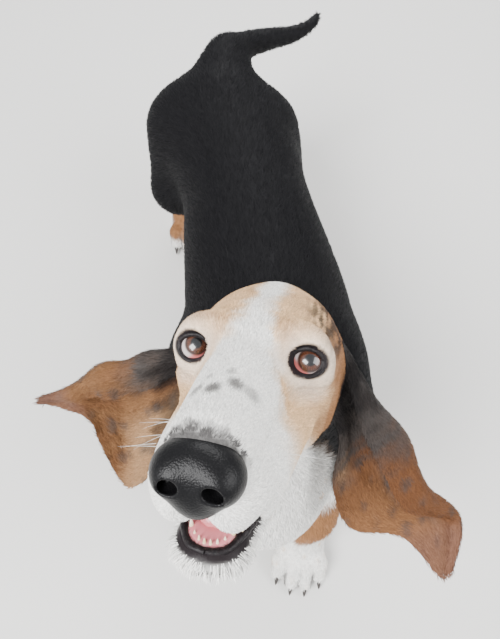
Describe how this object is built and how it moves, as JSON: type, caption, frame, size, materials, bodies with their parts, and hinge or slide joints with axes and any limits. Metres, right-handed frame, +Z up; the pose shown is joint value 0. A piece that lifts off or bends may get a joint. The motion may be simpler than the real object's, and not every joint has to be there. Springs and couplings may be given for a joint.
{
  "type": "basset hound",
  "caption": "Life-size still basset hound, standing with its head thrown up to look overhead, mouth open and long ears flung out, in a black, tan and white coat.",
  "frame": {"origin": "on the floor, under the middle of the whole dog's bounding box", "axes": "+Z up, the dog faces -Y, +X to its left"},
  "size_m": [0.3958, 0.8536, 0.6067],
  "materials": {
    "coat_black": "short sleek fur",
    "coat_white": "short soft fur",
    "coat_cream": "short soft fur",
    "coat_tan": "short fur",
    "coat_brown": "velvety short fur",
    "nose_pad": "damp pebbled skin",
    "eye": "wet glossy",
    "tongue": "wet",
    "tooth": "polished",
    "claw": "horn",
    "lid_skin": "bare dark skin"
  },
  "bodies": {
    "root": {"torso": "coat_black", "neck": "coat_white", "head": "coat_cream", "lower_jaw": "coat_white", "tongue": "tongue", "nose": "nose_pad", "eye_left": "eye", "eye_right": "eye", "ear_left": "coat_brown", "ear_right": "coat_brown", "tail": "coat_black", "leg_front_left": "coat_tan", "paw_front_left": "coat_white", "leg_front_right": "coat_tan", "paw_front_right": "coat_white", "leg_hind_left": "coat_tan", "paw_hind_left": "coat_white", "leg_hind_right": "coat_tan", "paw_hind_right": "coat_white"}
  },
  "joints": []
}
